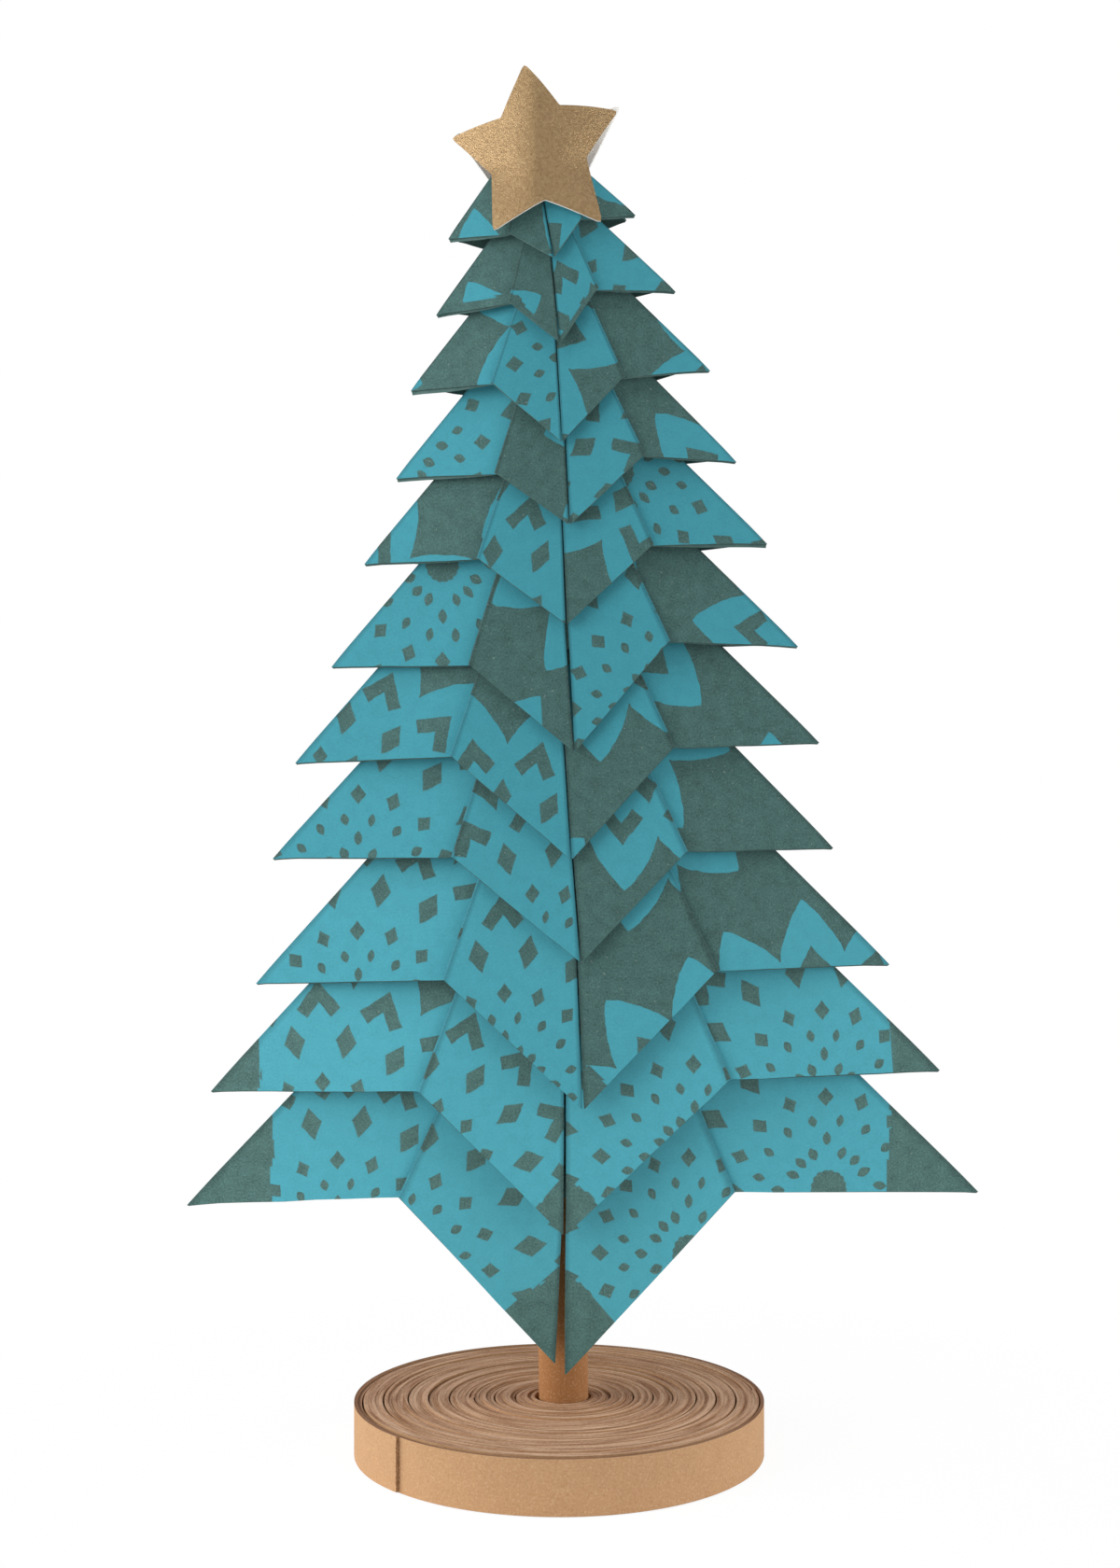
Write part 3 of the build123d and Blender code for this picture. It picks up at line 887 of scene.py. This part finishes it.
def wound_strip_tree():
    """A strip wound round an upright axis, ply on ply, as a nodes modifier."""
    tree = bpy.data.node_groups.new("wound_strip", "GeometryNodeTree")
    kinds = {name: "NodeSocketFloat" for name in (
        "Inner Radius", "Pitch", "Ply", "Height", "Turns", "Uneven", "Start", "Loose", "Bundle", "Opening",
        "Offset")}
    kinds.update({"Points": "NodeSocketInt", "Material": "NodeSocketMaterial"})
    for name, kind in kinds.items():
        tree.interface.new_socket(name, in_out="INPUT", socket_type=kind)
    tree.interface.new_socket("Geometry", in_out="OUTPUT", socket_type="NodeSocketGeometry")
    entry = tree.nodes.new("NodeGroupInput")
    result = tree.nodes.new("NodeGroupOutput")
    given = {socket.name: Field(tree, socket) for socket in entry.outputs if socket.name}

    line = add_node(tree, "GeometryNodeMeshLine", {"Count": given["Points"]}, count_mode="TOTAL")
    index = Field(tree, tree.nodes.new("GeometryNodeInputIndex").outputs[0])
    turn = index / (given["Points"] - 1.0) * given["Turns"]
    angle = turn * (2 * pi) + given["Start"]
    loose = (noise_along(tree, turn, PLY_SLACK_SCALE, 2.0) - 0.5) * given["Loose"]
    gathered = turn - (turn / given["Bundle"]).math("FRACT") * given["Opening"]
    radius = given["Inner Radius"] + given["Ply"] / 2.0 + gathered * given["Pitch"] + loose
    height = (noise_along(tree, turn + 40.0, PLY_RISE_SCALE, 3.0) - 0.5) * given["Uneven"]
    aside = (1.0 - turn / given["Turns"]) * given["Offset"]
    place = combine(tree, radius * angle.math("COSINE") + aside, radius * angle.math("SINE"), height)
    put = add_node(tree, "GeometryNodeSetPosition", {"Geometry": line.outputs["Mesh"], "Position": place})
    path = add_node(tree, "GeometryNodeMeshToCurve", {"Mesh": put.outputs["Geometry"]})
    upright = add_node(tree, "GeometryNodeSetCurveNormal", {"Curve": path.outputs["Curve"]}, mode="Z_UP")
    sides = {"Width": given["Ply"], "Height": given["Height"]}
    section = add_node(tree, "GeometryNodeCurvePrimitiveQuadrilateral", sides)
    body = add_node(tree, "GeometryNodeCurveToMesh", {
        "Curve": upright.outputs["Curve"], "Profile Curve": section.outputs["Curve"], "Fill Caps": True})
    real = add_node(tree, "GeometryNodeRealizeInstances", {"Geometry": body.outputs["Mesh"]})
    paint = add_node(tree, "GeometryNodeSetMaterial", {
        "Geometry": real.outputs["Geometry"], "Material": given["Material"]})
    feed(tree, result, {"Geometry": paint.outputs["Geometry"]})
    return tree


def wound_piece(name, tree, material, values, place):
    """Object wound by the nodes tree, converted to a plain mesh and set in place."""
    piece = make_object(name, [], [], [material])
    winding = piece.modifiers.new("winding", "NODES")
    winding.node_group = tree
    sockets = {item.name: item.identifier for item in tree.interface.items_tree if item.in_out == "INPUT"}
    for socket, value in values.items():
        winding[sockets[socket]] = value
    winding[sockets["Material"]] = material
    apply_modifiers(piece)
    piece.data.transform(Matrix.Scale(MM, 4) @ place)
    return piece


def star_outline(count):
    """Points round the star, its tips slightly rounded."""
    corners = [Vector(corner) for corner in STAR_CORNERS]
    outline = []
    for place, corner in enumerate(corners):
        after = corners[(place + 1) % len(corners)]
        before = corners[place - 1]
        cut, next_cut = STAR_TIP_ROUND, STAR_NOTCH_ROUND
        if place % 2:
            cut, next_cut = next_cut, cut
        first, last = corner.lerp(before, cut), corner.lerp(after, cut)
        outline += [first, first.lerp(corner, 0.5).lerp(corner.lerp(last, 0.5), 0.5), last]
        following = after.lerp(corner, next_cut)
        outline += [last.lerp(following, step / count) for step in range(1, count)]
    return outline


def card_star(name, node, flare, facing, materials):
    """Gold card bent round an upright axis in front of or behind the topmost tier."""
    outline = star_outline(STAR_EDGE_STEPS)
    vertices = [Vector((0.0, 0.0))]
    for ring in range(1, STAR_RINGS + 1):
        vertices += [point * (ring / STAR_RINGS) for point in outline]
    count = len(outline)
    faces = [(0, 1 + step, 1 + (step + 1) % count) for step in range(count)]
    for ring in range(STAR_RINGS - 1):
        base = 1 + ring * count
        for step in range(count):
            beside = (step + 1) % count
            faces.append((base + step, base + count + step, base + count + beside, base + beside))
    bent = []
    for point in vertices:
        pinch = STAR_PINCH * (abs(point.x) / STAR_PINCH_REACH) ** STAR_PINCH_POWER
        lowness = min(1.0, max(0.0, (STAR_FOOT_FROM - point.y) / STAR_FOOT_REACH))
        pinch *= 1.0 - STAR_FOOT_EASE * lowness
        spot = Vector((point.x * STAR_RIPPLE_SCALE, point.y * STAR_RIPPLE_SCALE, 2.0))
        ripple = STAR_RIPPLE * noise.noise(spot)
        bent.append((point.x, pinch - STAR_CARD / 2 - ripple, point.y))
    piece = make_object(name, bent, faces, materials)
    aside, rise = (STAR_BACK_SHIFT, STAR_BACK_RISE) if facing == "back" else (0.0, 0.0)
    at = Matrix.Translation((STAR_SHIFT + aside, -STACK - STAR_STANDOFF, rise - STAR_DROP))
    place = apex_place(0, flare, 0.0) @ at
    if facing == "back":
        place = Matrix.Diagonal((1, -1, 1, 1)) @ place
    piece.data.transform(Matrix.Scale(MM, 4) @ on_trunk() @ place)
    if facing == "back":
        piece.data.flip_normals()
    thicken(piece, STAR_CARD * MM)
    settle(piece, node)


def wound_foot(winding):
    """The coil that the tree stands on."""
    pitch = (BASE_RADIUS - BASE_HOLE) / (BASE_TURNS + 1)
    seam = radians(BASE_SEAM_ANGLE)
    kraft = kraft_material("kraft_strip", KRAFT_FACE, KRAFT_EDGE, KRAFT_CUT, pitch, BASE_RADIUS - BASE_RIM,
                           (cos(seam), sin(seam)))
    values = {
        "Inner Radius": BASE_HOLE,
        "Pitch": pitch,
        "Ply": pitch * (1 - BASE_OPENING / BASE_BUNDLE) * PLY_FILL,
        "Height": BASE_HEIGHT - BASE_SUNK,
        "Points": BASE_TURNS * BASE_TURN_POINTS,
        "Turns": float(BASE_TURNS),
        "Uneven": BASE_UNEVEN,
        "Start": seam,
        "Loose": BASE_LOOSE,
        "Bundle": BASE_BUNDLE,
        "Opening": BASE_OPENING,
        "Offset": TRUNK_OFFSET,
    }
    coil = wound_piece("base_winding", winding, kraft, values, Matrix.Translation((0, 0, BASE_HEIGHT / 2)))
    settle(coil, "base_coil")


def rolled_trunk(winding):
    """The tube that carries the sheets."""
    pitch = (TRUNK_RADIUS - TRUNK_INNER_RADIUS) / (TRUNK_TURNS + 1)
    brown = kraft_material("kraft_tube", TUBE_BROWN, TUBE_DARK, TUBE_BROWN, pitch, BASE_RADIUS, (0.0, 1.0))
    values = {
        "Inner Radius": TRUNK_INNER_RADIUS,
        "Pitch": pitch,
        "Ply": pitch * PLY_FILL,
        "Height": TRUNK_TOP - TRUNK_FOOT,
        "Points": TRUNK_TURNS * TRUNK_TURN_POINTS,
        "Turns": float(TRUNK_TURNS),
        "Uneven": 0.0,
        "Start": radians(TRUNK_SEAM_ANGLE),
        "Loose": 0.0,
        "Bundle": float(TRUNK_TURNS),
        "Opening": 0.0,
        "Offset": 0.0,
    }
    place = on_trunk() @ Matrix.Translation((0, 0, (TRUNK_TOP + TRUNK_FOOT) / 2))
    tube = wound_piece("trunk_roll", winding, brown, values, place)
    settle(tube, "trunk_tube")


def make_tree():
    """All pieces of the tree."""
    fibre = fibre_group()
    tier_sheets([printed_paper(rosette_group(), fibre, weave_group()), plain_paper(fibre)])
    winding = wound_strip_tree()
    wound_foot(winding)
    rolled_trunk(winding)
    gold = [gold_card(), plain_material("card_white", CARD_WHITE, 0.8)]
    flare = tier_flares()[0]
    card_star("front_star_card", "front_star", flare, "front", gold)
    card_star("back_star_card", "back_star", flare, "back", gold)


def area_light(name, place, target, size, power):
    """A rectangular soft light that faces its target."""
    lamp = bpy.data.lights.new(name, "AREA")
    lamp.shape = "RECTANGLE"
    lamp.size, lamp.size_y = size
    lamp.energy = power
    piece = bpy.data.objects.new(name, lamp)
    piece.location = place
    piece.rotation_euler = (Vector(target) - Vector(place)).to_track_quat("-Z", "Y").to_euler()
    bpy.context.collection.objects.link(piece)


def studio():
    """White surroundings with soft light from both sides, the left a little stronger."""
    scene = bpy.context.scene
    scene.view_settings.view_transform = "Standard"
    world = bpy.data.worlds.new("white_room")
    world.use_nodes = True
    tree = world.node_tree
    background = tree.nodes["Background"]
    path = tree.nodes.new("ShaderNodeLightPath")
    seen = Field(tree, path.outputs["Is Camera Ray"]).larger(Field(tree, path.outputs["Is Transmission Ray"]))
    feed(tree, background, {"Strength": seen * (1.0 - ROOM_LIGHT) + ROOM_LIGHT, "Color": WHITE})
    scene.world = world
    for light in LIGHTS:
        area_light(*light)
    lens = bpy.data.cameras.new("camera")
    lens.sensor_fit = "VERTICAL"
    lens.sensor_height = CAMERA_FILM
    lens.lens = CAMERA_LENS
    camera = bpy.data.objects.new("camera", lens)
    camera.location = (0, -CAMERA_DISTANCE * MM, CAMERA_HEIGHT * MM)
    camera.rotation_euler = (pi / 2, 0, 0)
    bpy.context.collection.objects.link(camera)
    scene.camera = camera


def white_floor():
    """Pale floor that stays white to the camera and keeps a faint shadow."""
    material, tree, shader = new_material("white_floor")
    glow = tree.nodes.new("ShaderNodeEmission")
    path = tree.nodes.new("ShaderNodeLightPath")
    place = tree.nodes.new("ShaderNodeTexCoord").outputs["Object"]
    length = add_node(tree, "ShaderNodeVectorMath", {0: place}, operation="LENGTH")
    away = Field(tree, length.outputs["Value"])
    near = spread(away, *FLOOR_NEAR)
    uncovered = spread(away, *FLOOR_COVERED)
    share = Field(tree, path.outputs["Is Camera Ray"]) * (1.0 - near * FLOOR_SHADOW) * uncovered
    feed(tree, shader, {
        "Base Color": FLOOR_WHITE, "Roughness": 0.9,
        "Emission Color": WHITE, "Emission Strength": near * uncovered * FLOOR_BOUNCE})
    blend = add_node(tree, "ShaderNodeMixShader", {0: share, 1: shader.outputs[0], 2: glow.outputs[0]})
    feed(tree, tree.nodes["Material Output"], {"Surface": blend.outputs[0]})
    corners = [(x * FLOOR_REACH, y * FLOOR_REACH, 0) for x, y in ((-1, -1), (1, -1), (1, 1), (-1, 1))]
    floor = make_object("floor", corners, [(0, 1, 2, 3)], [material])


make_tree()
studio()
white_floor()
